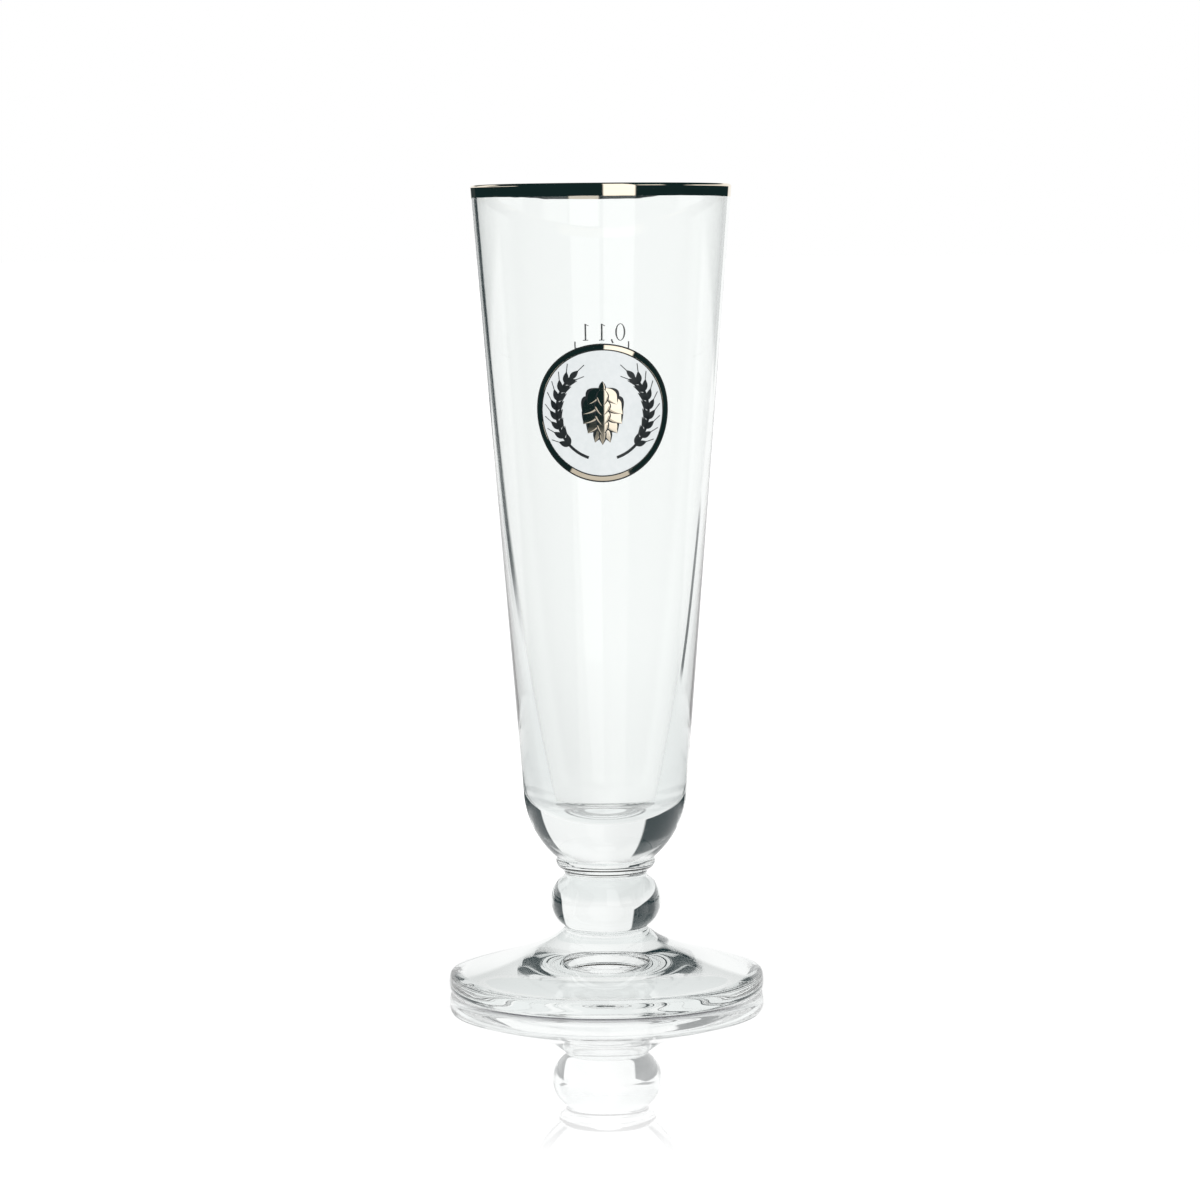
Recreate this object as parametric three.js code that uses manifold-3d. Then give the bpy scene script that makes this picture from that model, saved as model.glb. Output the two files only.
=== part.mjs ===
// A stemmed beer glass: a straight-sided conical bowl with a heavy rounded base, fused to a collar,
// a ball knop and a disc foot, with a fired metal band on the lip and a round enamel badge on the wall.
// Millimetres, +Z up. The origin is the centre of the plane that the foot stands on; the badge faces -Y.

import * as THREE from "three";
import { mergeVertices } from "three/addons/utils/BufferGeometryUtils.js";
import Module from "manifold-3d";

// The whole glass
const overallHeight = 170; // table to the top of the rim band
const sides = 56; // facets round every turned piece
const roundSteps = 3; // facets along a small round
const curveSteps = 8; // facets along a large curve
const wallSteps = 10; // facets along the inside of the wall
const weld = 1e-5; // points closer than this are one point

// Foot: a disc with a rounded edge, a hollow underside and a slope that sweeps up to the stem
const footRadius = 33.3;
const footEdge = 4; // height of the rounded edge
const footEdgeRound = 1; // how far the edge draws in at the standing ring
const footEdgeBevel = 0.6; // how far the edge draws in at the slope
const standingRing = 3; // width of the flat ring that touches the table
const hollowDepth = 4.6; // underside above the table, at the middle
const footHeight = 13.6; // table to the joint with the knop
const stemRadius = 8.7; // both necks of the stem
const slopeRun = 5.4; // how far in, and
const slopeRise = 2.3; // how far up, the slope leaves the edge
const sweepRun = 4.3; // how far out, and
const sweepDrop = 5.2; // how far down, the sweep leaves the stem

// Knop: a solid ball with flat joints above and below
const knopRadius = 11.6;
const knopHeight = 11.2;

// Collar: a ring of glass that flares from the stem and tucks in under the bowl
const collarRadius = 10.45;
const collarHeight = 3.7;
const collarLip = 1; // height of the rounded upper corner
const collarTuck = 0.3; // how far the collar stands inside the bowl's seat

// Bowl: an arc of a base, a straight tapering wall and a round lip
const rimRadius = 27.2; // outside of the lip
const shoulderRadius = 17.2; // outside, where the straight wall meets the base
const shoulderHeight = 42; // table to that meeting
const seatRadius = 10.28; // outside, where the base sits on the collar
const baseCurve = 19.7; // radius to which the base is rounded
const rimWall = 1.05;
const shoulderWall = 6;
const floorThickness = 9.2; // solid glass under the middle of the hollow
const wallSwell = 3.5; // power by which the wall thickens from the lip down
const hollowLead = 0.5; // share of the hollow's rounded bottom along which its sides run on down
const hollowFlat = 0.5; // share of that bottom's radius along which its floor runs on level

// Fired layers
const layerGap = 0.04; // clearance under each fired layer
const metalLayer = 0.1;
const enamelLayer = 0.1;
const bandWidth = 2.6; // lip to the band's lower edge
const badgeRadius = 14.2;
const badgeRingWidth = 1.4;
const badgeHeight = 123.3; // table to the badge's middle
const badgeMargin = 3; // of wall above and below the badge that its layers are cut from
const inkGap = 0.05; // between layers that lie side by side

// Motif: a hop cone between two ears of barley
const hopLength = 13;
const hopWidth = 8.2;
const hopStalk = 1.4; // length of the bare stalk on the cone
const hopSkew = 0.75; // below 1 puts the widest bracts nearer the stalk
const bractRows = 5;
const bractRoot = 0.25; // share of a row's spread at which its outer bracts are rooted
const bractDrop = 2; // rows that the middle bract hangs down, and
const bractLift = 0.25; // how many rows the outer bracts end above it
const earRadius = 9.6; // of the arc that each ear follows
const earStart = THREE.MathUtils.degToRad(-72); // from the horizontal, at the foot of the stalk
const earGrains = THREE.MathUtils.degToRad(-44); // at the lowest pair of grains
const earEnd = THREE.MathUtils.degToRad(50); // at the top grain
const earStalk = 0.6; // width of the stalk
const grainPairs = 8;
const grainLength = 2.6;
const grainWidth = 1.2;
const grainLean = THREE.MathUtils.degToRad(30); // of each grain away from the stalk
const petalBelly = 0.45; // share of a petal's length at which it is widest
const petalSteps = 5; // facets along each side of a petal
const stalkSteps = 12; // facets along each side of a stalk

const wasm = await Module();
wasm.setup();

// Levels and sizes that follow from the driving dimensions
const collarBase = footHeight + knopHeight;
const bowlSeat = collarBase + collarHeight;
const bowlTop = overallHeight - layerGap - metalLayer;
const lipRadius = rimWall / 2;
const lipLevel = bowlTop - lipRadius;
const taper = Math.atan2(rimRadius - shoulderRadius, lipLevel - shoulderHeight);

const at = (radius, z) => new THREE.Vector2(radius, z);

// The base leaves the wall smoothly at the shoulder and curves in to the seat, as evenly as an arc does
const shoulder = at(shoulderRadius, shoulderHeight);
const seat = at(seatRadius, bowlSeat);
const downWall = at(-Math.sin(taper), -Math.cos(taper));
const chord = seat.clone().sub(shoulder).normalize();
const intoSeat = chord.clone().multiplyScalar(2 * chord.dot(downWall)).sub(downWall);
const baseTurn = 2 * Math.acos(chord.dot(downWall));
const baseHandle = (4 / 3) * Math.tan(baseTurn / 4) * baseCurve;

// Outside of the straight wall at a height
function wallRadius(z) {
  return THREE.MathUtils.mapLinear(z, shoulderHeight, lipLevel, shoulderRadius, rimRadius);
}

// Inside of the wall at a height: the wall swells from the lip to the shoulder
function hollowRadius(z) {
  const depth = (lipLevel - z) / (lipLevel - shoulderHeight);
  return wallRadius(z) - rimWall - (shoulderWall - rimWall) * depth ** wallSwell;
}

function arc(centre, radius, start, end, steps) {
  return new THREE.EllipseCurve(centre.x, centre.y, radius, radius, start, end, end < start).getPoints(steps);
}

function bezier(a, b, c, d, steps) {
  return new THREE.CubicBezierCurve(a, b, c, d).getPoints(steps);
}

function bend(a, b, c, steps) {
  return new THREE.QuadraticBezierCurve(a, b, c).getPoints(steps);
}

// Turns a profile of (radius, height) points about the Z axis
function turned(profile) {
  const apart = (point, i) => i === 0 || point.distanceTo(profile[i - 1]) > weld;
  return new THREE.LatheGeometry(profile.filter(apart), sides).rotateX(Math.PI / 2);
}

// A geometry as a solid that can be joined and cut
function solid(geometry) {
  const bare = geometry.clone();
  bare.deleteAttribute("normal");
  bare.deleteAttribute("uv");
  const merged = mergeVertices(bare, weld);
  const triangles = [];
  const index = merged.index.array;
  for (let i = 0; i < index.length; i += 3) {
    const [a, b, c] = index.slice(i, i + 3);
    if (a !== b && b !== c && c !== a) triangles.push(a, b, c);
  }
  return new wasm.Manifold(
    new wasm.Mesh({
      numProp: 3,
      vertProperties: merged.attributes.position.array,
      triVerts: new Uint32Array(triangles),
    }),
  );
}

function geometryOf(body) {
  const mesh = body.getMesh();
  const geometry = new THREE.BufferGeometry();
  geometry.setAttribute("position", new THREE.BufferAttribute(mesh.vertProperties, 3));
  geometry.setIndex(new THREE.BufferAttribute(mesh.triVerts, 1));
  geometry.computeVertexNormals();
  return geometry;
}

// Foot: hollow underside, standing ring, rounded edge, slope and sweep to the stem
function footGeometry() {
  const ringOuter = footRadius - footEdgeRound;
  const ringInner = ringOuter - standingRing;
  const slopeStart = at(footRadius - footEdgeBevel, footEdge);
  return turned([
    ...bend(at(0, hollowDepth), at(ringInner / 2, hollowDepth), at(ringInner, 0), curveSteps),
    ...bend(at(ringOuter, 0), at(footRadius, 0), at(footRadius, footEdge / 2), roundSteps),
    ...bend(at(footRadius, footEdge / 2), at(footRadius, footEdge), slopeStart, roundSteps),
    ...bezier(
      slopeStart,
      at(slopeStart.x - slopeRun, slopeStart.y + slopeRise),
      at(stemRadius + sweepRun, footHeight - sweepDrop),
      at(stemRadius, footHeight),
      curveSteps,
    ),
    at(0, footHeight),
  ]);
}

// Knop: the arc through both necks and the widest point of the ball
function knopGeometry() {
  const half = knopHeight / 2;
  const bulge = knopRadius - stemRadius;
  const radius = (half ** 2 + bulge ** 2) / (2 * bulge);
  const angle = Math.atan2(half, radius - bulge);
  const centre = at(knopRadius - radius, footHeight + half);
  return turned([at(0, footHeight), ...arc(centre, radius, -angle, angle, curveSteps), at(0, collarBase)]);
}

// Collar: a flare out of the stem, a rounded corner and a tuck under the bowl
function collarGeometry() {
  const corner = at(collarRadius, bowlSeat - collarLip);
  const rise = (corner.y - collarBase) / 2;
  return turned([
    at(0, collarBase),
    ...bezier(
      at(stemRadius, collarBase),
      at(stemRadius, collarBase + rise),
      at(corner.x, corner.y - rise),
      corner,
      curveSteps,
    ),
    ...bend(corner, at(collarRadius, bowlSeat), at(seatRadius - collarTuck, bowlSeat), roundSteps),
    at(0, bowlSeat),
  ]);
}

// Bowl: outside from the seat up, over the lip, then down the hollow to the middle of its floor
function bowlGeometry() {
  const floor = bowlSeat + floorThickness;
  const lipCentre = at(rimRadius - lipRadius, lipLevel);
  const hollow = [];
  for (let i = 1; i < wallSteps; i++) {
    const z = THREE.MathUtils.lerp(lipLevel, shoulderHeight, i / wallSteps);
    hollow.push(at(hollowRadius(z), z));
  }
  const hollowEnd = at(hollowRadius(shoulderHeight), shoulderHeight);
  const leadIn = (shoulderHeight - floor) * hollowLead;
  return turned([
    at(0, bowlSeat),
    ...bezier(
      seat,
      seat.clone().addScaledVector(intoSeat, -baseHandle),
      shoulder.clone().addScaledVector(downWall, baseHandle),
      shoulder,
      curveSteps,
    ),
    ...arc(lipCentre, lipRadius, 0, Math.PI, roundSteps + 1),
    ...hollow,
    ...bezier(
      hollowEnd,
      at(hollowRadius(shoulderHeight - leadIn), shoulderHeight - leadIn),
      at(hollowEnd.x * hollowFlat, floor),
      at(0, floor),
      curveSteps,
    ),
  ]);
}

// Rim band: an even skin over the lip and down the outside of the wall
function bandGeometry() {
  const lipCentre = at(rimRadius - lipRadius, lipLevel);
  const lowerEdge = bowlTop - bandWidth;
  const skin = (offset) => [
    at(wallRadius(lowerEdge) + offset, lowerEdge),
    ...arc(lipCentre, lipRadius + offset, 0, Math.PI, roundSteps + 1),
  ];
  const outside = skin(layerGap + metalLayer);
  const inside = skin(layerGap).reverse();
  return turned([...outside, ...inside, outside[0]]);
}

// The space that a fired layer fills all round the wall, beside the badge
function layerShell(offset, thickness) {
  const low = badgeHeight - badgeRadius - badgeMargin;
  const high = badgeHeight + badgeRadius + badgeMargin;
  const inner = (z) => at(wallRadius(z) + offset, z);
  const outer = (z) => at(wallRadius(z) + offset + thickness, z);
  return solid(turned([inner(low), outer(low), outer(high), inner(high), inner(low)]));
}

// Lays a flat print outline, measured from the badge's middle, round the wall and looks along +Y at it
function wrapped(points) {
  const radius = wallRadius(badgeHeight);
  return points.map((p) => at(radius * Math.sin(p.x / radius), badgeHeight + p.y * Math.cos(taper)));
}

// An outline carried through the front wall, as a cutter for a fired layer
function printCutter(outline, hole) {
  const shape = new THREE.Shape(wrapped(outline));
  if (hole) shape.holes.push(new THREE.Path(wrapped(hole)));
  const reach = rimRadius * 2;
  const cutter = new THREE.ExtrudeGeometry(shape, { depth: reach, bevelEnabled: false });
  return solid(cutter.rotateX(Math.PI / 2));
}

function circle(radius) {
  return arc(at(0, 0), radius, 0, 2 * Math.PI, sides).slice(0, -1);
}

// A pointed oval from root to tip, as a grain or a bract is drawn
function petal(root, tip, width) {
  const across = at(root.y - tip.y, tip.x - root.x).setLength(width);
  const belly = root.clone().lerp(tip, petalBelly);
  const side = (share) => bend(root, belly.clone().addScaledVector(across, share), tip, petalSteps);
  return [...side(-1), ...side(1).reverse().slice(1, -1)];
}

const groundLayer = layerShell(layerGap, enamelLayer);
const ringLayer = layerShell(layerGap, metalLayer);
const motifLayer = layerShell(layerGap + enamelLayer + layerGap, enamelLayer);

function badgeGroundGeometry() {
  const radius = badgeRadius - badgeRingWidth - inkGap;
  return geometryOf(groundLayer.intersect(printCutter(circle(radius))));
}

function badgeRingGeometry() {
  const cutter = printCutter(circle(badgeRadius), circle(badgeRadius - badgeRingWidth));
  return geometryOf(ringLayer.intersect(cutter));
}

// Joins overlapping outlines and prints them as one motif
function motifGeometry(outlines) {
  const cutters = outlines.map((outline) => printCutter(outline));
  const joined = cutters.reduce((whole, cutter) => whole.add(cutter));
  return geometryOf(motifLayer.intersect(joined));
}

// Hop cone: a short stalk and rows of three bracts that swell below it and narrow to the tip
function hopOutlines() {
  const rowPitch = (hopLength - hopStalk) / (bractRows + 1);
  const top = hopLength / 2;
  const crown = top - hopStalk;
  const outlines = [petal(at(0, top), at(0, crown - rowPitch), hopStalk)];
  for (let row = 0; row < bractRows; row++) {
    const level = crown - row * rowPitch;
    const share = (row + 1) / (bractRows + 1);
    const spread = (hopWidth / 2) * Math.sin(Math.PI * share ** hopSkew);
    for (const side of [-1, 0, 1]) {
      const root = at(side * spread * bractRoot, level);
      const drop = rowPitch * (bractDrop - Math.abs(side) * bractLift);
      outlines.push(petal(root, at(side * spread, level - drop), spread));
    }
  }
  return outlines;
}

// Barley ear: an arc of stalk with grains in pairs and one grain at its top, on the side given
function earOutlines(side) {
  const stalk = [
    ...arc(at(0, 0), earRadius + earStalk / 2, earStart, earEnd, stalkSteps),
    ...arc(at(0, 0), earRadius - earStalk / 2, earEnd, earStart, stalkSteps),
  ];
  const grain = (angle, lean) => {
    const root = at(earRadius, 0).rotateAround(at(0, 0), angle);
    const tip = root.clone().add(at(0, grainLength).rotateAround(at(0, 0), angle + lean));
    return petal(root, tip, grainWidth);
  };
  const outlines = [stalk, grain(earEnd - earStalk / earRadius, 0)];
  for (let pair = 0; pair < grainPairs; pair++) {
    const angle = THREE.MathUtils.lerp(earGrains, earEnd, pair / grainPairs);
    outlines.push(grain(angle, -grainLean), grain(angle, grainLean));
  }
  const mirrored = (outline) => outline.map((p) => at(-p.x, p.y)).reverse();
  return side > 0 ? outlines : outlines.map(mirrored);
}

const clearGlass = new THREE.MeshStandardMaterial({
  color: "#e6efec",
  roughness: 0.03,
  metalness: 0,
  transparent: true,
  opacity: 0.35,
});
const paleGold = new THREE.MeshStandardMaterial({ color: "#d9c9ae", roughness: 0.15, metalness: 1 });
const whiteEnamel = new THREE.MeshStandardMaterial({ color: "#e3e8ea", roughness: 0.3, metalness: 0 });
const blackEnamel = new THREE.MeshStandardMaterial({ color: "#1c2426", roughness: 0.35, metalness: 0 });

const group = new THREE.Group();
function place(name, geometry, material) {
  const mesh = new THREE.Mesh(geometry, material);
  mesh.name = name;
  group.add(mesh);
}

place("foot", footGeometry(), clearGlass);
place("knop", knopGeometry(), clearGlass);
place("collar", collarGeometry(), clearGlass);
place("bowl", bowlGeometry(), clearGlass);
place("rim_band", bandGeometry(), paleGold);
place("badge_ground", badgeGroundGeometry(), whiteEnamel);
place("badge_ring", badgeRingGeometry(), paleGold);
place("hop_cone", motifGeometry(hopOutlines()), paleGold);
place("barley_ear_left", motifGeometry(earOutlines(-1)), blackEnamel);
place("barley_ear_right", motifGeometry(earOutlines(1)), blackEnamel);

export default group;
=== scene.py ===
import math

import bpy
import numpy as np
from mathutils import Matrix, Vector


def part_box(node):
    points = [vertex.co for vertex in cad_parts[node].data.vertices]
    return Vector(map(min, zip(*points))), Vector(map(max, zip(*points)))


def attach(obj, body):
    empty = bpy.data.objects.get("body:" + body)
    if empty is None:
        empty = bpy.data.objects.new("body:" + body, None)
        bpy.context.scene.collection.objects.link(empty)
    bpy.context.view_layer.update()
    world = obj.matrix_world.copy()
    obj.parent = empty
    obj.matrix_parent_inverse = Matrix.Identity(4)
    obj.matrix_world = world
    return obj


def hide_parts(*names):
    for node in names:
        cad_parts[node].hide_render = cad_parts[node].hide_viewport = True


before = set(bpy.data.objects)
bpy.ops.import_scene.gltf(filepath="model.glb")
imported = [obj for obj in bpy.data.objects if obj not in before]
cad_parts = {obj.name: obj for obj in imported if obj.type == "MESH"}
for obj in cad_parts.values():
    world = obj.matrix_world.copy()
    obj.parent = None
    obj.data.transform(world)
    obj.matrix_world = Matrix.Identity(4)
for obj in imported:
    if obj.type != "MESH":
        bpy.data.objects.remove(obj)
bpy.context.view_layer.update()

# Foot. The disc of clear glass that everything stands on, pressed and then fire-polished: hollow
# underneath, round at its edge, and drawn up in the middle to a neck fused hot to the knop.
mm = 0.001
foot_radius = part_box("foot")[1].x
foot_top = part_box("foot")[1].z
foot_edge = 4.0 * mm
edge_round = 1.0 * mm
edge_bevel = 0.6 * mm
standing_ring = 3.0 * mm
hollow_depth = 4.6 * mm
stem_radius = 8.7 * mm
slope_run = 5.4 * mm
slope_rise = 2.3 * mm
sweep_run = 4.3 * mm
sweep_drop = 5.2 * mm
neck_round = 0.45 * mm
facets = 192
same_place = 0.0001 * mm
sharp_angle = math.radians(35)


def curve(*points, steps=32):
    """Bezier curve: neighbours among the points are blended by t from 0 to 1 until one point is left."""
    t = np.linspace(0, 1, steps + 1)[:, None]
    level = [np.tile(np.array(point, float), (steps + 1, 1)) for point in points]
    while len(level) > 1:
        level = [a + (b - a) * t for a, b in zip(level, level[1:])]
    return level[0]


def outline(*runs):
    """One outline of (radius, height) points: the runs end to end, without repeated points."""
    points = np.concatenate([np.atleast_2d(run) for run in runs])
    moved = np.linalg.norm(np.diff(points, axis=0), axis=1) > same_place
    return points[np.concatenate([[True], moved])]


def necked(points, level):
    """Rounds the notch at a neck: what stands out past the stem fades away close to the neck's level."""
    radius, height = points.T
    share = 1 - np.exp(-np.abs(height - level) / neck_round)
    past = np.where(radius > stem_radius, radius - stem_radius, 0)
    return np.column_stack([radius - past * (1 - share), height])


def spun(points, looped=False):
    """Surface of revolution: the outline's point (r, h) goes to (r sin a, -r cos a, h) at every angle a.
    A point on the axis is one vertex, and a looped outline runs on from its end to its start."""
    angle = np.linspace(0, 2 * np.pi, facets, endpoint=False)
    radius, height = points[:, :1], points[:, 1:]
    places = np.stack([radius * np.sin(angle), -radius * np.cos(angle), height + 0 * angle], axis=-1)
    index = np.arange(len(points) * facets).reshape(len(points), facets)
    on_axis = points[:, 0] == 0
    index[on_axis] = index[on_axis, :1]
    low = index if looped else index[:-1]
    high = np.roll(index, -1, axis=0) if looped else index[1:]
    faces = np.stack([low, np.roll(low, -1, axis=1), np.roll(high, -1, axis=1), high], axis=-1)
    return places.reshape(-1, 3), faces.reshape(-1, 4)


def add_piece(name, places, faces, materials, finish=0):
    """Makes a mesh object of four-cornered faces; one with two corners in one place becomes a triangle."""
    used, faces = np.unique(faces, return_inverse=True)
    faces = faces.reshape(-1, 4)
    finish = np.broadcast_to(finish, len(faces))
    low_tip = faces[:, 0] == faces[:, 1]
    high_tip = faces[:, 2] == faces[:, 3]
    whole = ~(low_tip | high_tip)
    corners = faces[whole].tolist()
    corners += faces[low_tip][:, [0, 2, 3]].tolist()
    corners += faces[high_tip][:, :3].tolist()
    mesh = bpy.data.meshes.new(name)
    mesh.from_pydata(places[used].tolist(), [], corners)
    for material in materials:
        mesh.materials.append(material)
    ordered = np.concatenate([finish[whole], finish[low_tip], finish[high_tip]]).astype(np.int32)
    mesh.polygons.foreach_set("material_index", ordered)
    mesh.polygons.foreach_set("use_smooth", np.ones(len(corners), bool))
    mesh.set_sharp_from_angle(angle=sharp_angle)
    mesh.update()
    piece = bpy.data.objects.new(name, mesh)
    bpy.context.scene.collection.objects.link(piece)
    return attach(piece, "root")


def node(tree, kind, settings=None, **inputs):
    """Adds a node. Settings are its own properties; an input takes a value or another node's output."""
    made = tree.nodes.new("ShaderNode" + kind)
    for name, value in (settings or {}).items():
        setattr(made, name, value)
    for name, value in inputs.items():
        socket = made.inputs[name.replace("_", " ")]
        if isinstance(value, bpy.types.NodeSocket):
            tree.links.new(value, socket)
        else:
            socket.default_value = value
    return made


def grain(tree, scale, stretch=(1, 1, 1), detail=2.0):
    """Noise over the piece's own place in metres, drawn out along the small axes of stretch."""
    place = node(tree, "TexCoord").outputs["Object"]
    drawn = node(tree, "Mapping", Vector=place, Scale=stretch).outputs["Vector"]
    return node(tree, "TexNoise", Vector=drawn, Scale=scale, Detail=detail).outputs["Fac"]


def ranged(tree, value, low, high):
    """Spreads noise, which keeps to the middle of 0 to 1, from low to high."""
    spread = node(tree, "MapRange", Value=value, From_Min=0.3, From_Max=0.7, To_Min=low, To_Max=high)
    return spread.outputs["Result"]


def new_material(name):
    """A material with its node tree and its Principled shader."""
    material = bpy.data.materials.new(name)
    material.use_nodes = True
    return material, material.node_tree, material.node_tree.nodes["Principled BSDF"]


def clear_glass():
    """Colourless soda-lime glass with the slow ripple and faint handling haze of fire-polished ware."""
    material, tree, shader = new_material("clear_glass")
    shader.inputs["Base Color"].default_value = (0.992, 1.0, 0.996, 1)
    shader.inputs["Transmission Weight"].default_value = 1.0
    shader.inputs["IOR"].default_value = 1.51
    haze = ranged(tree, grain(tree, 140), 0.0, 0.012)
    ripple = grain(tree, 110, (1, 1, 0.45))
    bump = node(tree, "Bump", Height=ripple, Strength=1.0, Distance=0.008 * mm)
    tree.links.new(haze, shader.inputs["Roughness"])
    tree.links.new(bump.outputs["Normal"], shader.inputs["Normal"])
    return material


def fused_joint():
    """Where two gathers of glass are fused there is no surface, so the joint faces show nothing."""
    material, tree, shader = new_material("fused_joint")
    shader.inputs["Alpha"].default_value = 0.0
    return material


glass = clear_glass()
joint = fused_joint()
ring_outer = foot_radius - edge_round
ring_inner = ring_outer - standing_ring
slope_start = (foot_radius - edge_bevel, foot_edge)
foot_outline = outline(
    curve((0, hollow_depth), (ring_inner / 2, hollow_depth), (ring_inner, 0)),
    curve((ring_outer, 0), (foot_radius, 0), (foot_radius, foot_edge / 2), steps=16),
    curve((foot_radius, foot_edge / 2), (foot_radius, foot_edge), slope_start, steps=16),
    necked(
        curve(
            slope_start,
            (slope_start[0] - slope_run, slope_start[1] + slope_rise),
            (stem_radius + sweep_run, foot_top - sweep_drop),
            (stem_radius, foot_top),
            steps=96,
        ),
        foot_top,
    ),
    (0, foot_top),
)


def add_glass(name, points, fused):
    """A turned piece of glass. Fused gives the places in its outline after which a run is a joint face."""
    places, faces = spun(points)
    run = np.arange(len(faces)) // facets
    return add_piece(name, places, faces, [glass, joint], np.isin(run, np.arange(len(points))[fused]))


foot = add_glass("foot_glass", foot_outline, [-2])
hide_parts("foot")

# Knop. The solid ball of the short stem, shaped hot from one gather of glass between two narrow necks;
# it is fused to the foot below and to the collar above.
knop_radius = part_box("knop")[1].x
knop_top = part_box("knop")[1].z


def arc(centre, radius, start, end, steps=64):
    """Arc of a circle about a centre, from one angle to another above the horizontal."""
    angle = np.linspace(start, end, steps + 1)
    return np.column_stack([centre[0] + radius * np.cos(angle), centre[1] + radius * np.sin(angle)])


knop_half = (knop_top - foot_top) / 2
knop_bulge = knop_radius - stem_radius
ball_radius = (knop_half**2 + knop_bulge**2) / (2 * knop_bulge)
ball_angle = math.atan2(knop_half, ball_radius - knop_bulge)
ball_centre = (knop_radius - ball_radius, foot_top + knop_half)
ball = arc(ball_centre, ball_radius, -ball_angle, ball_angle, steps=96)
knop_outline = outline((0, foot_top), necked(necked(ball, foot_top), knop_top), (0, knop_top))
knop = add_glass("knop_glass", knop_outline, [0, -2])
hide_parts("knop")

# Collar. The thick ring of glass under the bowl that the stem was stuck to: it flares out of the stem
# and its upper corner is rounded in under the bowl, fused to both.
collar_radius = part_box("collar")[1].x
collar_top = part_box("collar")[1].z
collar_lip = 1.0 * mm
seat_radius = 10.28 * mm
collar_corner = collar_top - collar_lip
collar_rise = (collar_corner - knop_top) / 2
collar_outline = outline(
    (0, knop_top),
    curve(
        (stem_radius, knop_top),
        (stem_radius, knop_top + collar_rise),
        (collar_radius, collar_corner - collar_rise),
        (collar_radius, collar_corner),
        steps=48,
    ),
    curve(
        (collar_radius, collar_corner),
        (collar_radius, collar_top - collar_lip / 3),
        (seat_radius, collar_top),
    ),
    (0, collar_top),
)
collar = add_glass("collar_glass", collar_outline, [0, -2])
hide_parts("collar")

# Bowl. A tall straight cone of clear glass, blown in a mould: its wall is thin at the fire-polished lip
# and swells downwards into a heavy round base, which is fused to the collar.
rim_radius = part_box("bowl")[1].x
bowl_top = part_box("bowl")[1].z
shoulder_radius = 17.2 * mm
shoulder_height = 42.0 * mm
base_curve = 19.7 * mm
rim_wall = 1.05 * mm
shoulder_wall = 6.0 * mm
floor_thickness = 9.2 * mm
wall_swell = 3.5
hollow_lead = 0.5
hollow_flat = 0.5
lip_radius = rim_wall / 2
lip_level = bowl_top - lip_radius
lip_centre = (rim_radius - lip_radius, lip_level)
taper = math.atan2(rim_radius - shoulder_radius, lip_level - shoulder_height)


def wall_radius(height):
    """Outside of the straight wall: a straight line from the shoulder to the lip."""
    share = (height - shoulder_height) / (lip_level - shoulder_height)
    return shoulder_radius + (rim_radius - shoulder_radius) * share


def hollow_radius(height):
    """Inside of the wall: the wall thickens from the lip to the shoulder by a power of the depth."""
    depth = (lip_level - height) / (lip_level - shoulder_height)
    return wall_radius(height) - rim_wall - (shoulder_wall - rim_wall) * depth**wall_swell


shoulder = np.array((shoulder_radius, shoulder_height))
seat = np.array((seat_radius, collar_top))
down_wall = np.array((-math.sin(taper), -math.cos(taper)))
chord = (seat - shoulder) / np.linalg.norm(seat - shoulder)
into_seat = 2 * chord.dot(down_wall) * chord - down_wall
base_turn = 2 * math.acos(chord.dot(down_wall))
base_handle = 4 / 3 * math.tan(base_turn / 4) * base_curve
hollow_floor = collar_top + floor_thickness
wall_heights = np.linspace(lip_level, shoulder_height, 64)
lead_level = shoulder_height - (shoulder_height - hollow_floor) * hollow_lead
hollow_end = (hollow_radius(shoulder_height), shoulder_height)
bowl_outline = outline(
    (0, collar_top),
    curve(seat, seat - into_seat * base_handle, shoulder + down_wall * base_handle, shoulder, steps=64),
    curve(shoulder, (rim_radius, lip_level), steps=48),
    arc(lip_centre, lip_radius, 0, math.pi, steps=16),
    np.column_stack([hollow_radius(wall_heights), wall_heights]),
    curve(
        hollow_end,
        (hollow_radius(lead_level), lead_level),
        (hollow_end[0] * hollow_flat, hollow_floor),
        (0, hollow_floor),
        steps=64,
    ),
)
bowl = add_glass("bowl_glass", bowl_outline, [0])
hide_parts("bowl")

# Rim band. Bright pale metal lustre, brushed on over the lip while the glass turned on a wheel and then
# fired: it lies in the glass's skin, and its lower edge is a little uneven, as brushed bands are.
band_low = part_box("rim_band")[0].z
layer_sunk = 0.03 * mm
layer_proud = 0.06 * mm
band_waver = 0.12 * mm
# Each wave of the band's edge has a count round the rim and an angle that it starts at.
band_waves = ((3, 0.4), (7, 2.1), (16, 4.0), (41, 1.0))


def pale_gold():
    """Burnished gold lustre: near-mirror metal with fine brushed streaks round the glass."""
    material, tree, shader = new_material("pale_gold")
    shader.inputs["Metallic"].default_value = 1.0
    streak = grain(tree, 900, (0.05, 0.05, 1), detail=4.0)
    tone = node(tree, "ValToRGB", Fac=streak)
    tone.color_ramp.elements[0].position = 0.3
    tone.color_ramp.elements[0].color = (0.84, 0.74, 0.59, 1)
    tone.color_ramp.elements[1].position = 0.7
    tone.color_ramp.elements[1].color = (0.93, 0.85, 0.71, 1)
    bump = node(tree, "Bump", Height=streak, Strength=1.0, Distance=0.0006 * mm)
    tree.links.new(tone.outputs["Color"], shader.inputs["Base Color"])
    tree.links.new(ranged(tree, streak, 0.02, 0.05), shader.inputs["Roughness"])
    tree.links.new(bump.outputs["Normal"], shader.inputs["Normal"])
    return material


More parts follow.
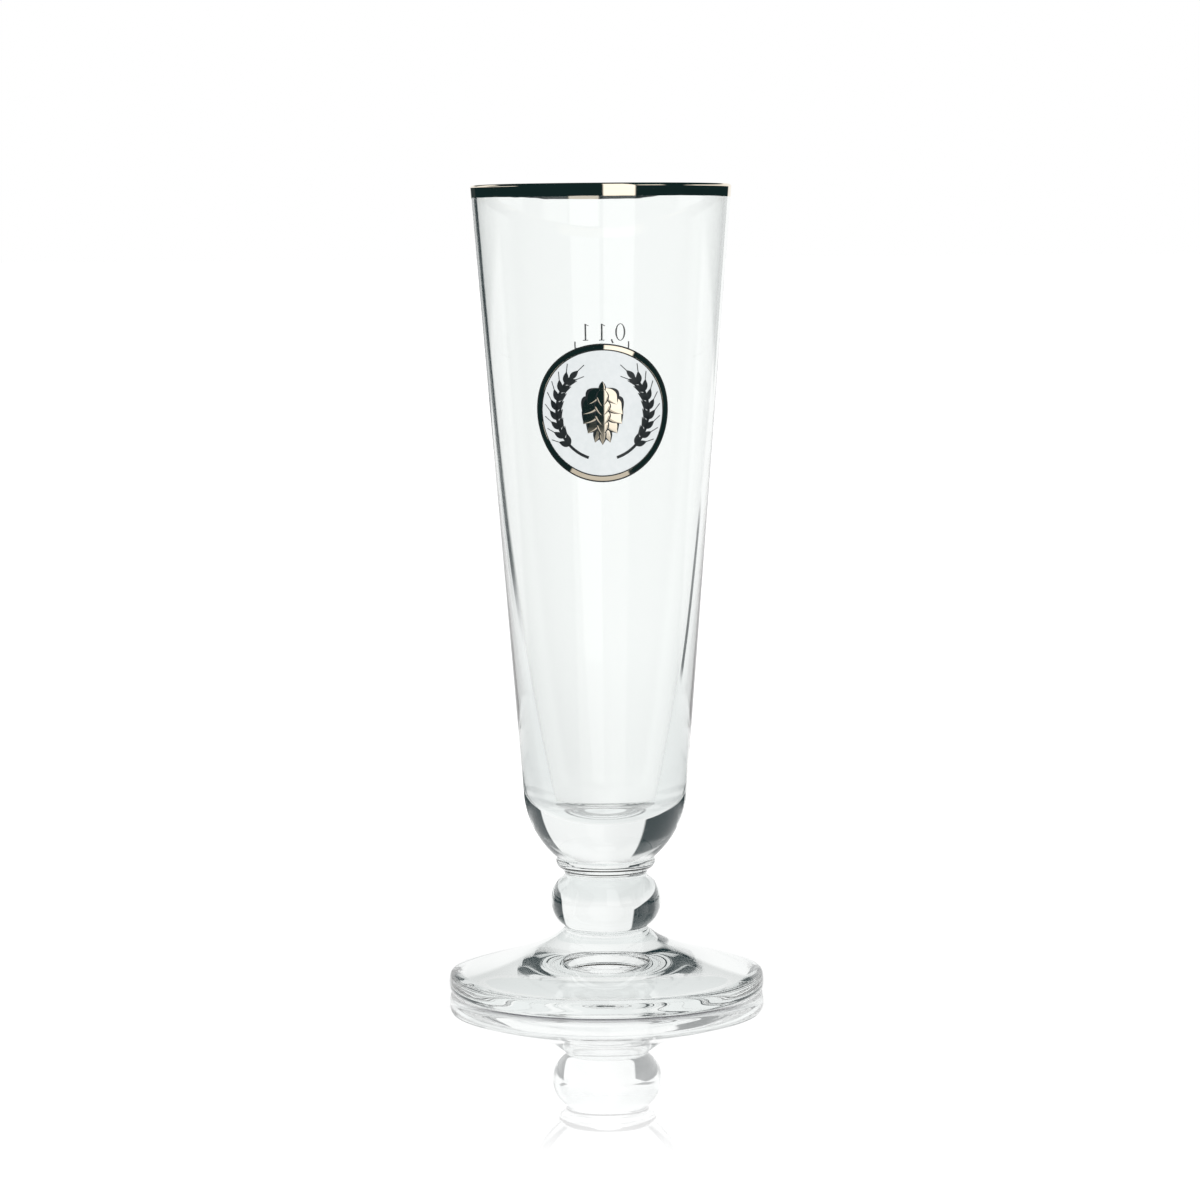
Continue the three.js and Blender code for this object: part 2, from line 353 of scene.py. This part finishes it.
def band_skin(offset):
    """The band's outline at a distance from the glass: up the wall and over the lip."""
    heights = np.linspace(band_low, lip_level, 12)
    wall = np.column_stack([wall_radius(heights) + offset, heights])
    return outline(wall, arc(lip_centre, lip_radius + offset, 0, math.pi, steps=24))


def wavered(places):
    """Shifts the band's lower edge up and down by a sum of waves round the rim, none of it at the lip."""
    x, y, height = places.T
    angle = np.arctan2(x, -y)
    waves = sum(np.sin(count * angle + start) / count**0.5 for count, start in band_waves)
    share = np.clip((lip_level - height) / (lip_level - band_low), 0, 1) ** 2
    return np.column_stack([x, y, height + band_waver * waves / 2 * share])


gold = pale_gold()
band_places, band_faces = spun(outline(band_skin(layer_proud), band_skin(-layer_sunk)[::-1]), looped=True)
band = add_piece("rim_band_lustre", wavered(band_places), band_faces, [gold])
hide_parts("rim_band")

# Badge ground. The white enamel disc screen-printed on the front of the bowl and fired, so it lies on
# the glass as a thin even coat, slightly rounded over at its edge. The back, which shows through the
# glass, is the same enamel painted a brighter white: painted light, for the light the glass keeps from it.
ring_low, ring_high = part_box("badge_ring")
badge_height = (ring_low.z + ring_high.z) / 2
badge_radius = (ring_high.z - ring_low.z) / 2 / math.cos(taper)
ring_width = 1.4 * mm
enamel_proud = 0.07 * mm
edge_ease = 0.05 * mm
ground_steps = 40


def on_wall(places, height=badge_height, facing=0.0):
    """Wraps a flat print on the wall: across runs round it as an arc, up follows its slope, and out stands
    off it. Facing turns the print round the axis from the front."""
    across, up, out = places.T
    level = height + up * math.cos(taper)
    angle = across / wall_radius(height) + facing
    radius = wall_radius(level) + out
    return np.column_stack([radius * np.sin(angle), -radius * np.cos(angle), level])


def fired_enamel(name, thin, full):
    """Screen-printed enamel: two close tones in soft mottles, satin gloss and a fine orange-peel skin."""
    material, tree, shader = new_material(name)
    mottle = grain(tree, 900, detail=3.0)
    tone = node(tree, "ValToRGB", Fac=mottle)
    tone.color_ramp.elements[0].position = 0.3
    tone.color_ramp.elements[0].color = (*thin, 1)
    tone.color_ramp.elements[1].position = 0.7
    tone.color_ramp.elements[1].color = (*full, 1)
    bump = node(tree, "Bump", Height=grain(tree, 2600), Strength=1.0, Distance=0.004 * mm)
    tree.links.new(tone.outputs["Color"], shader.inputs["Base Color"])
    tree.links.new(ranged(tree, mottle, 0.28, 0.42), shader.inputs["Roughness"])
    tree.links.new(bump.outputs["Normal"], shader.inputs["Normal"])
    return material


def coat(inner, outer, low, high):
    """Section of a ring-shaped coat of print: flat below and on top, with its corners eased."""
    ease = min(edge_ease, (outer - inner) / 4)
    middle = (low + high) / 2
    below = [(inner, low), (outer, low)]
    above = [(outer - ease, high), (inner + ease, high)]
    return np.array([*below, (outer, middle), *above, (inner, middle)])


white_enamel = fired_enamel("white_enamel", (0.7, 0.735, 0.742), (0.745, 0.775, 0.782))
ground_radius = badge_radius - ring_width
ground_section = outline(
    curve((0, -layer_sunk), (ground_radius, -layer_sunk), steps=ground_steps),
    (ground_radius, enamel_proud / 2),
    curve((ground_radius - edge_ease, enamel_proud), (0, enamel_proud), steps=ground_steps),
)
ground_places, ground_faces = spun(ground_section)
# The back's brighter white is painted light, standing in for light that the glass keeps from the back.
brightened_back_enamel = fired_enamel("brightened_back_enamel", (0.94, 0.95, 0.95), (0.97, 0.975, 0.975))
on_back = np.arange(len(ground_faces)) // facets < ground_steps
ground_coats = [white_enamel, brightened_back_enamel]
ground = add_piece("badge_ground_enamel", on_wall(ground_places), ground_faces, ground_coats, on_back)
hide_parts("badge_ground")

# Badge ring. A ring of the same lustre as the rim, printed round the ground, between two thin keylines
# of black enamel that keep its edges crisp.
key_outer = 0.25 * mm
key_inner = 0.2 * mm
gold_proud = 0.09 * mm
black_enamel = fired_enamel("black_enamel", (0.012, 0.017, 0.019), (0.02, 0.026, 0.028))
ring_section = coat(ground_radius + key_inner, badge_radius - key_outer, -layer_sunk, gold_proud)
ring_places, ring_faces = spun(ring_section, looped=True)
ring = add_piece("badge_ring_lustre", on_wall(ring_places), ring_faces, [gold])
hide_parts("badge_ring")
for name, inner, outer in (
    ("badge_keyline_outer", badge_radius - key_outer, badge_radius),
    ("badge_keyline_inner", ground_radius, ground_radius + key_inner),
):
    key_places, key_faces = spun(coat(inner, outer, -layer_sunk, enamel_proud), looped=True)
    keyline = add_piece(name, on_wall(key_places), key_faces, [black_enamel])

# Hop cone. The badge's middle: rows of overlapping bracts in gold lustre, each on a slightly larger
# bract of black enamel that outlines it, printed over the white ground from the tip upwards.
hop_length = 13.0 * mm
hop_width = 8.2 * mm
hop_stalk = 1.4 * mm
hop_skew = 0.75
bract_rows = 5
bract_root = 0.25
bract_drop = 2
bract_lift = 0.25
bract_step = 0.012 * mm
hop_outline = 0.22 * mm
print_low = enamel_proud - 0.03 * mm
stroke_flat = 0.38
leaf_skew = 0.85
leaf_tip = 0.04


def stroke(path, width, low, high):
    """A printed stroke: an eased flat section of the given width, carried along a path of flat points, with
    both ends closed. The section has points all across, so that a wide stroke bends round the wall."""
    chain = np.concatenate([[-0.5], np.linspace(-stroke_flat, stroke_flat, 9), [0.5]])
    across = np.concatenate([chain, chain[::-1]])
    rise = np.concatenate([np.where(abs(chain) < 0.5, 1.0, 0.5), np.zeros(len(chain))])
    along = np.gradient(path, axis=0)
    along /= np.linalg.norm(along, axis=1)[:, None]
    left = np.column_stack([-along[:, 1], along[:, 0]])
    flat = path[:, None] + across[:, None] * (left * np.broadcast_to(width, len(path))[:, None])[:, None]
    out = np.broadcast_to(low + rise * (high - low), flat.shape[:2])
    count = len(across)
    index = np.arange(len(path) * count).reshape(len(path), count)
    sides = [index[:-1], np.roll(index[:-1], -1, axis=1), np.roll(index[1:], -1, axis=1), index[1:]]
    faces = np.stack(sides, axis=-1).reshape(-1, 4)
    step = np.arange(len(chain) - 1)
    cap = np.column_stack([step, step + 1, count - 2 - step, count - 1 - step])
    faces = np.concatenate([faces, index[0][cap[:, ::-1]], index[-1][cap]])
    return np.dstack([flat, out]).reshape(-1, 3), faces


def leaf(root, tip, width, low, high):
    """A pointed oval from root to tip: a straight stroke whose width swells and closes again."""
    path = curve(root, tip, steps=14)
    t = np.linspace(0, 1, len(path))
    return stroke(path, width * np.maximum(np.sin(np.pi * t**leaf_skew), leaf_tip), low, high)


def joined(parts):
    """Several strokes as one mesh's places and faces."""
    starts = np.cumsum([0] + [len(places) for places, faces in parts[:-1]])
    all_places = np.concatenate([places for places, faces in parts])
    all_faces = np.concatenate([part[1] + start for part, start in zip(parts, starts)])
    return all_places, all_faces


def add_print(name, parts, finishes, material_of, **where):
    """Lays several strokes on the wall as one piece; material_of gives each stroke's finish."""
    places, faces = joined(parts)
    finish = np.repeat(material_of, [len(faces) for places, faces in parts])
    return add_piece(name, on_wall(places, **where), faces, finishes, finish)


row_pitch = (hop_length - hop_stalk) / (bract_rows + 1)
hop_crown = hop_length / 2 - hop_stalk
bracts = [((0, hop_length / 2), (0, hop_crown - row_pitch), hop_stalk, 0)]
for row in range(bract_rows):
    level = hop_crown - row * row_pitch
    spread = hop_width / 2 * math.sin(math.pi * ((row + 1) / (bract_rows + 1)) ** hop_skew)
    for side in (-1, 1, 0):
        drop = row_pitch * (bract_drop - abs(side) * bract_lift)
        layer = 2 * (bract_rows - row) + (side == 0)
        bracts.append(((side * spread * bract_root, level), (side * spread, level - drop), spread, layer))
hop_parts = []
for root, tip, width, layer in bracts:
    base = enamel_proud + layer * bract_step
    hop_parts.append(leaf(root, tip, width + 2 * hop_outline, print_low, base + bract_step / 2))
    hop_parts.append(leaf(root, tip, width - hop_outline, print_low, base + bract_step))
hop = add_print("hop_cone_print", hop_parts, [black_enamel, gold], [0, 1] * len(bracts))
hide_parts("hop_cone")

# Barley ears. Two ears in black enamel that curve up round the hop cone: a stalk, paired grains that
# lean away from it and a fine awn from every grain, printed over the white ground.
ear_radius = 9.6 * mm
ear_start = math.radians(-72)
ear_grains = math.radians(-44)
ear_end = math.radians(50)
ear_stalk = 0.6 * mm
grain_pairs = 8
grain_length = 2.6 * mm
grain_width = 1.2 * mm
grain_lean = math.radians(30)
awn_length = 1.6 * mm
awn_width = 0.16 * mm
ear_high = enamel_proud + 0.05 * mm
awn_start = 0.9


def ear(side):
    """A stalk along an arc about the badge's middle, with leaves for grains at even angles along it."""
    stalk_angle = np.linspace(ear_start, ear_end, 40)
    stalk = ear_radius * np.column_stack([side * np.cos(stalk_angle), np.sin(stalk_angle)])
    parts = [stroke(stalk, ear_stalk, print_low, ear_high)]
    places = [(ear_end - ear_stalk / ear_radius, 0)]
    for pair in range(grain_pairs):
        angle = ear_grains + (ear_end - ear_grains) * pair / grain_pairs
        places += [(angle, -grain_lean), (angle, grain_lean)]
    for angle, lean in places:
        root = ear_radius * np.array((math.cos(angle), math.sin(angle)))
        heading = np.array((-math.sin(angle + lean), math.cos(angle + lean)))
        mirror = np.array((side, 1))
        tip = root + heading * grain_length
        awn = np.array((root + heading * grain_length * awn_start, tip + heading * awn_length)) * mirror
        parts.append(leaf(root * mirror, tip * mirror, grain_width, print_low, ear_high))
        parts.append(stroke(awn, awn_width, print_low, ear_high))
    return parts


for name, side in (("left", -1), ("right", 1)):
    ear_parts = ear(side)
    barley = add_print(f"barley_ear_{name}_print", ear_parts, [black_enamel], [0] * len(ear_parts))
    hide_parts(f"barley_ear_{name}")

# Capacity mark. The thin printed line with upturned ends on the back of the bowl that the glass is
# filled to, with the capacity in numerals above it, in dark enamel that reads from behind.
mark_height = 135.1 * mm
mark_half = 6.0 * mm
mark_tick = 1.5 * mm
mark_line = 0.3 * mm
digit_base = 1.7 * mm
digit_height = 3.6 * mm
digit_thin = 0.16 * mm
digit_thick = 0.36 * mm
mark_high = 0.04 * mm
zero_place = -4.1 * mm
zero_half = 0.95 * mm
# The comma and the serifs are in millimetres, as line() takes them.
comma_place = -2.2
comma_head = 0.25
comma_tail = (-0.3, -0.6)
upright_places = (0.0, 3.6)
serif_half = 0.6
serif_rise = 0.06
flag_start = 0.08
flag_end = (-0.7, -0.45)


def line(*points, width):
    """A straight-sided stroke of the mark through the points given, in millimetres."""
    return stroke(np.array(points) * mm, width, -layer_sunk, mark_high)


turn = np.linspace(0, 2 * np.pi, 49)
zero_middle = np.array((zero_place, digit_base + digit_height / 2))
zero = zero_middle + np.column_stack([zero_half * np.sin(turn), digit_height / 2 * np.cos(turn)])
zero_width = digit_thin + (digit_thick - digit_thin) * np.sin(turn) ** 2
foot_mm, head_mm = digit_base / mm, (digit_base + digit_height) / mm
half_mm, tick_mm = mark_half / mm, mark_tick / mm
comma_end = (comma_place + comma_tail[0], foot_mm + comma_tail[1])
comma = ((comma_place, foot_mm + comma_head), (comma_place, foot_mm), comma_end)
mark_parts = [
    line((-half_mm, 0), (half_mm, 0), width=mark_line),
    line((-half_mm, 0), (-half_mm, tick_mm), width=mark_line),
    line((half_mm, 0), (half_mm, tick_mm), width=mark_line),
    stroke(zero, zero_width, -layer_sunk, mark_high),
    line(*comma, width=digit_thick),
]
for middle in upright_places:
    serif = [(middle + way * serif_half, foot_mm + serif_rise) for way in (-1, 1)]
    flag = ((middle, head_mm - flag_start), (middle + flag_end[0], head_mm + flag_end[1]))
    mark_parts.append(line((middle, foot_mm), (middle, head_mm), width=digit_thick))
    mark_parts.append(line(*serif, width=digit_thin))
    mark_parts.append(line(*flag, width=digit_thin))
mark_finish = [0] * len(mark_parts)
mark_where = {"height": mark_height, "facing": math.pi}
mark = add_print("capacity_mark_print", mark_parts, [black_enamel], mark_finish, **mark_where)

# Studio. A lit white backdrop, with dark cards beside the glass that draw its edges and a soft light in
# front that the metal mirrors. None of it belongs to the glass. A heading is in degrees from +Y to +X.
scene = bpy.context.scene
scene.view_settings.view_transform = "Standard"
scene.cycles.max_bounces = 32
scene.cycles.transmission_bounces = 24
scene.cycles.glossy_bounces = 16
scene.cycles.transparent_max_bounces = 48
white = (1, 1, 1, 1)
black = (0, 0, 0, 1)
soft_light = (1.3, 1.3, 1.3, 1)
soft_inside = (2.2, 2.2, 2.2, 1)
gloss_dark = (0.008, 0.022, 0.026, 1)
# A card is given by its middle heading, half its width, and the slant of its lower edge.
cards = ((-88, 66, 0.316, 0.213), (98.5, 55.5, -0.4, 0.195))
card_colour = (0.014, 0.03, 0.034, 1)
card_soft = 0.004
card_top = (43, 37)
card_mirrorings = 7.5
light_heading = (164, 14)
light_top = (66, 60)
light_colour = (1.3, 1.3, 1.3, 1)
light_inside = (0.7, 0.7, 0.7, 1)
# A backdrop is given by its middle heading, half its width, and the heights of its edges in degrees.
backdrops = ((39, 51, -89, 20), (0, 100, 2, 13), (-45, 12, 2, 36), (135, 12, 4, 26))
far_side = (0, 80, 10)
onward_share = 0.55
solid_near = (0.85, 0.88, 0.875, 1)
solid_far = (0.95, 0.965, 0.96, 1)
hollow_near = (0.985, 1.0, 0.995, 1)
hollow_far = (1.065, 1.08, 1.073, 1)
shaded_side = (-24, 18, 10)
side_shade = 0.07


def maths(tree, operation, first, second=0.0):
    """The sum, product or comparison of two values, each a number or another node's output."""
    made = tree.nodes.new("ShaderNodeMath")
    made.operation = operation
    for socket, value in zip(made.inputs, (first, second)):
        if isinstance(value, bpy.types.NodeSocket):
            tree.links.new(value, socket)
        else:
            socket.default_value = value
    return made.outputs[0]


def both(tree, *shares):
    """The product of several shares, which is 1 only where all of them are."""
    product = shares[0]
    for share in shares[1:]:
        product = maths(tree, "MULTIPLY", product, share)
    return product


def blend(tree, share, first, second):
    """Mixes two colours by a share."""
    made = tree.nodes.new("ShaderNodeMix")
    made.data_type = "RGBA"
    for socket, value in zip((made.inputs[0], made.inputs[6], made.inputs[7]), (share, first, second)):
        if isinstance(value, bpy.types.NodeSocket):
            tree.links.new(value, socket)
        else:
            socket.default_value = value
    return made.outputs[2]


def eased(tree, value, low, high):
    """0 below low and 1 above high, with a smooth step between; low above high turns it round."""
    step = node(
        tree, "MapRange", {"interpolation_type": "SMOOTHSTEP"}, Value=value, From_Min=low, From_Max=high
    )
    return step.outputs["Result"]


def raised(tree, rise, start, end):
    """A smooth step in the height of a direction: 0 at the angle start and 1 at end, in degrees."""
    return eased(tree, rise, math.sin(math.radians(start)), math.sin(math.radians(end)))


def level_heading(tree, direction):
    """The direction's compass heading as a level vector of length 1."""
    level = node(tree, "VectorMath", {"operation": "MULTIPLY"})
    tree.links.new(direction, level.inputs[0])
    level.inputs[1].default_value = (1, 1, 0)
    heading = node(tree, "VectorMath", {"operation": "NORMALIZE"})
    tree.links.new(level.outputs[0], heading.inputs[0])
    return heading.outputs[0]


def towards(tree, heading, middle, half, soft=1.0):
    """1 within half of the heading middle, in degrees, with a soft edge: a step in the angle's cosine."""
    facing = node(tree, "VectorMath", {"operation": "DOT_PRODUCT"})
    tree.links.new(heading, facing.inputs[0])
    facing.inputs[1].default_value = (math.sin(math.radians(middle)), math.cos(math.radians(middle)), 0)
    edges = [math.cos(math.radians(half + way * soft)) for way in (1, -1)]
    return eased(tree, facing.outputs["Value"], *edges)


def card_share(tree, heading, vector, down, level):
    """1 in the headings of the dark cards, above their slanting lower edges: where the sum of the vector's
    parts, weighed by the slant and by down for its height, is past the level."""
    share = 0.0
    for middle, half, lean_x, lean_y in cards:
        slant = node(tree, "VectorMath", {"operation": "DOT_PRODUCT"})
        tree.links.new(vector, slant.inputs[0])
        slant.inputs[1].default_value = (lean_x, lean_y, down)
        above = eased(tree, slant.outputs["Value"], level * 0.95 + card_soft, level * 1.05 - card_soft)
        share = maths(tree, "MAXIMUM", share, both(tree, towards(tree, heading, middle, half), above))
    return share


def backing(tree, heading, solid, near=0.0):
    """The pale backdrop behind the glass: a little brighter through the hollow, greyer near the glass, and
    shaded on its left."""
    through_solid = blend(tree, near, solid_far, solid_near)
    through_hollow = blend(tree, near, hollow_far, hollow_near)
    pale = blend(tree, solid, through_hollow, through_solid)
    return blend(tree, both(tree, towards(tree, heading, *shaded_side), side_shade), pale, black)


def solid_glass_ray(tree, path):
    """1 for light that came through solid glass only, 0 for light that crossed the bowl's hollow."""
    return maths(tree, "LESS_THAN", path.outputs["Transmission Depth"], 3.5)


def mirrored_ray(tree, path):
    """1 for light that was mirrored on its way through the bowl's hollow, as on the far side of the band."""
    crossed = maths(tree, "GREATER_THAN", path.outputs["Transmission Depth"], 3.5)
    return both(tree, crossed, maths(tree, "GREATER_THAN", path.outputs["Glossy Depth"], 0.5))


def mirrored_once(tree, path):
    """1 for light that was mirrored no more than once."""
    return maths(tree, "LESS_THAN", path.outputs["Glossy Depth"], 1.5)


def scattered_ray(tree, path):
    """1 for the light that a print or the table scatters."""
    return maths(tree, "GREATER_THAN", path.outputs["Diffuse Depth"], 0.5)


def scattered(tree, path, plain):
    """The light that falls on a print: plain, or brighter on the back of one behind both walls, where the
    light that the glass keeps in comes out again."""
    inside = maths(tree, "GREATER_THAN", path.outputs["Transmission Depth"], 4.5)
    return blend(tree, inside, plain, soft_inside)


world = bpy.data.worlds.new("studio")
scene.world = world
world.use_nodes = True
world.cycles.sampling_method = "NONE"
sky = world.node_tree
path = node(sky, "LightPath")
direction = node(sky, "TexCoord").outputs["Generated"]
rise = node(sky, "SeparateXYZ", Vector=direction).outputs["Z"]
heading = level_heading(sky, direction)
solid = solid_glass_ray(sky, path)
few_mirrorings = maths(sky, "LESS_THAN", path.outputs["Glossy Depth"], card_mirrorings)
carded = both(sky, card_share(sky, heading, direction, -1, 0), solid, few_mirrorings)
pale = backing(sky, heading, solid)
through_glass = blend(sky, both(sky, carded, raised(sky, rise, *card_top)), pale, card_colour)
backdrop = 0.0
for middle, half, low, high in backdrops:
    above = raised(sky, rise, low - 0.5, low + 0.5)
    below = raised(sky, rise, high + 2, high - 2)
    board = both(sky, towards(sky, heading, middle, half, 4), above, below)
    backdrop = maths(sky, "MAXIMUM", backdrop, board)
light = both(sky, towards(sky, heading, *light_heading), raised(sky, rise, *light_top))
mirrored = blend(sky, both(sky, light, mirrored_once(sky, path)), gloss_dark, light_inside)
mirrored = blend(sky, both(sky, towards(sky, heading, *far_side), onward_share), mirrored, pale)
through_glass = blend(sky, mirrored_ray(sky, path), through_glass, mirrored)
in_gloss = blend(sky, light, gloss_dark, light_colour)
in_gloss = blend(sky, backdrop, in_gloss, white)
seen = blend(sky, path.outputs["Is Glossy Ray"], soft_light, in_gloss)
seen = blend(sky, path.outputs["Is Transmission Ray"], seen, through_glass)
seen = blend(sky, scattered_ray(sky, path), seen, scattered(sky, path, soft_light))
seen = blend(sky, path.outputs["Is Camera Ray"], seen, white)
sky.links.new(seen, sky.nodes["Background"].inputs["Color"])

# Table. The pale polished top that the glass stands on, which runs out to the backdrop: white, with a
# faint mirror image and a contact shade, and with the cards and lights that glass and metal show of it.
# Two numbers for a reach are the distances from the glass, in metres, where it starts and is full.
floor_half = 40.0
floor_level = -0.0001
table_white = (0.8, 0.8, 0.8, 1)
table_shaded = (0.4, 0.4, 0.4, 1)
table_glow = 0.68
mirror_reach = (0.185, 0.075)
mirror_gain = 2.1
mirror_rough = 0.015
mirror_shaded = (0.25, 0.25, 0.27, 1)
contact_reach = 0.006
contact_open = (0.42, 0.95)
contact_front = (-0.027, -0.015)
card_drop = 0.02
card_leaving = (0.075, 0.055)
near_reach = (0.45, 0.06)
# An edge strip is given by its heading, half its width, and its start to the right of the glass.
left_edge = (-25, 6, -0.115)
left_reach = (0.22, 0.42)
left_gloss = (-24, 6, -0.24)
left_gloss_reach = (0.45, 0.7)
right_edge = (33.5, 3.2, 0.053)
right_reach = (0.185, 0.215)
right_end = (0.65, 0.5)
edge_colour = (0.035, 0.05, 0.053, 1)
light_reach = (0.55, 0.62)
near_light = (183, 30)
near_light_colour = (0.65, 0.64, 0.62, 1)
behind_reach = (0.25, 0.4)
behind_end = (2.0, 1.6)
behind_heading = (0, 75, 4)
middle_heading = (8, 19, 1.5)
round_foot = (0.2, 0.12)


def strip(tree, place, middle, half, start):
    """1 on a strip of the table: the headings within half of the middle, as seen from a point that lies at
    start to the right of the glass."""
    turn = math.radians(middle)
    from_start = node(tree, "VectorMath", {"operation": "SUBTRACT"})
    tree.links.new(place, from_start.inputs[0])
    from_start.inputs[1].default_value = (start * math.cos(turn), -start * math.sin(turn), 0)
    return towards(tree, level_heading(tree, from_start.outputs[0]), middle, half)


def mixed(tree, share, first, second):
    """Mixes two shaders by a share."""
    made = node(tree, "MixShader", Fac=share)
    tree.links.new(first.outputs[0], made.inputs[1])
    tree.links.new(second.outputs[0], made.inputs[2])
    return made


floor_mesh = bpy.data.meshes.new("studio_floor")
floor_signs = ((-1, -1), (1, -1), (1, 1), (-1, 1))
floor_corners = [(x * floor_half, y * floor_half, floor_level) for x, y in floor_signs]
floor_mesh.from_pydata(floor_corners, [], [(0, 1, 2, 3)])
floor = bpy.data.objects.new("studio_floor", floor_mesh)
scene.collection.objects.link(floor)
table = bpy.data.materials.new("polished_table")
table.use_nodes = True
floor_mesh.materials.append(table)
top = table.node_tree
top.nodes.clear()
path = node(top, "LightPath")
place = node(top, "TexCoord").outputs["Object"]
heading = level_heading(top, place)
length = node(top, "VectorMath", {"operation": "LENGTH"})
top.links.new(place, length.inputs[0])
distance = length.outputs["Value"]
solid = solid_glass_ray(top, path)
unmirrored = maths(top, "LESS_THAN", path.outputs["Glossy Depth"], 0.5)
in_wall = both(top, solid, maths(top, "SUBTRACT", 1.0, unmirrored))
# The cards show only in light that left the glass low down, so the bowl's mouth stays clear from above.
steepness = maths(top, "SUBTRACT", 1.0, node(top, "LayerWeight", Blend=0.5).outputs["Facing"])
from_below = eased(top, both(top, distance, steepness), *card_leaving)
carded = both(top, card_share(top, heading, place, 0, -card_drop), from_below, solid, unmirrored)
pale = backing(top, heading, solid, eased(top, distance, *near_reach))
through_glass = blend(top, carded, pale, card_colour)
on_left = both(top, strip(top, place, *left_edge), eased(top, distance, *left_reach))
on_right = both(top, strip(top, place, *right_edge), eased(top, distance, *right_reach))
on_right = both(top, on_right, eased(top, distance, *right_end))
edged = both(top, maths(top, "MAXIMUM", on_left, on_right), in_wall)
through_glass = blend(top, edged, through_glass, edge_colour)
light_far = both(top, towards(top, heading, *light_heading), eased(top, distance, *light_reach))
light_near = both(top, towards(top, heading, *near_light), eased(top, distance, *light_reach[::-1]))
mirrored = blend(top, both(top, light_far, mirrored_once(top, path)), gloss_dark, light_inside)
mirrored = blend(top, both(top, towards(top, heading, *far_side), onward_share), mirrored, pale)
through_glass = blend(top, mirrored_ray(top, path), through_glass, mirrored)
in_gloss = blend(top, light_far, gloss_dark, light_colour)
in_gloss = blend(top, light_near, in_gloss, near_light_colour)
behind = both(top, eased(top, distance, *behind_reach), eased(top, distance, *behind_end))
behind = both(top, behind, towards(top, heading, *behind_heading))
behind = maths(top, "MAXIMUM", behind, towards(top, heading, *middle_heading))
in_gloss = blend(top, behind, in_gloss, white)
left_mirrored = both(top, strip(top, place, *left_gloss), eased(top, distance, *left_gloss_reach))
in_gloss = blend(top, left_mirrored, in_gloss, edge_colour)
in_gloss = blend(top, eased(top, distance, *round_foot), in_gloss, white)
seen = blend(top, path.outputs["Is Transmission Ray"], in_gloss, through_glass)
seen = blend(top, scattered_ray(top, path), seen, scattered(top, path, white))
open_air = node(top, "AmbientOcclusion", {"samples": 16}, Distance=contact_reach).outputs["AO"]
clear = node(top, "MapRange", Value=open_air, From_Min=contact_open[0], From_Max=contact_open[1])
backwards = node(top, "SeparateXYZ", Vector=place).outputs["Y"]
unshaded = maths(top, "MAXIMUM", clear.outputs["Result"], eased(top, backwards, *contact_front))
shadowed = node(top, "BsdfDiffuse", Color=table_shaded)
glow = node(top, "Emission", Color=white, Strength=both(top, unshaded, table_glow))
surface = node(top, "AddShader")
top.links.new(shadowed.outputs[0], surface.inputs[0])
top.links.new(glow.outputs[0], surface.inputs[1])
mirror_tone = blend(top, unshaded, mirror_shaded, white)
mirror = node(top, "BsdfGlossy", Color=mirror_tone, Roughness=mirror_rough)
fresnel = node(top, "Fresnel", IOR=1.5).outputs["Fac"]
mirror_share = both(top, fresnel, mirror_gain, eased(top, distance, *mirror_reach))
polished = mixed(top, mirror_share, surface, mirror)
plain = node(top, "BsdfDiffuse", Color=table_white)
shown = node(top, "Emission", Color=seen)
by_glass = maths(top, "MAXIMUM", path.outputs["Is Glossy Ray"], path.outputs["Is Transmission Ray"])
traced = mixed(top, by_glass, plain, shown)
whole = mixed(top, path.outputs["Is Camera Ray"], traced, polished)
output = node(top, "OutputMaterial")
top.links.new(whole.outputs[0], output.inputs["Surface"])

# Camera. It stands in front of the glass, a little below the height of its lip, and looks slightly down,
# with a long lens and a small roll.
sensor_width = 36
lens = 116.04
looks_down = 5.26
roll = -0.43
camera_data = bpy.data.cameras.new("camera")
camera_data.sensor_width = sensor_width
camera_data.lens = lens
camera = bpy.data.objects.new("camera", camera_data)
camera.location = (-0.0008, -0.811, 0.1576)
camera.rotation_mode = "ZYX"
camera.rotation_euler = (math.radians(90 - looks_down), 0, math.radians(roll))
scene.collection.objects.link(camera)
scene.camera = camera
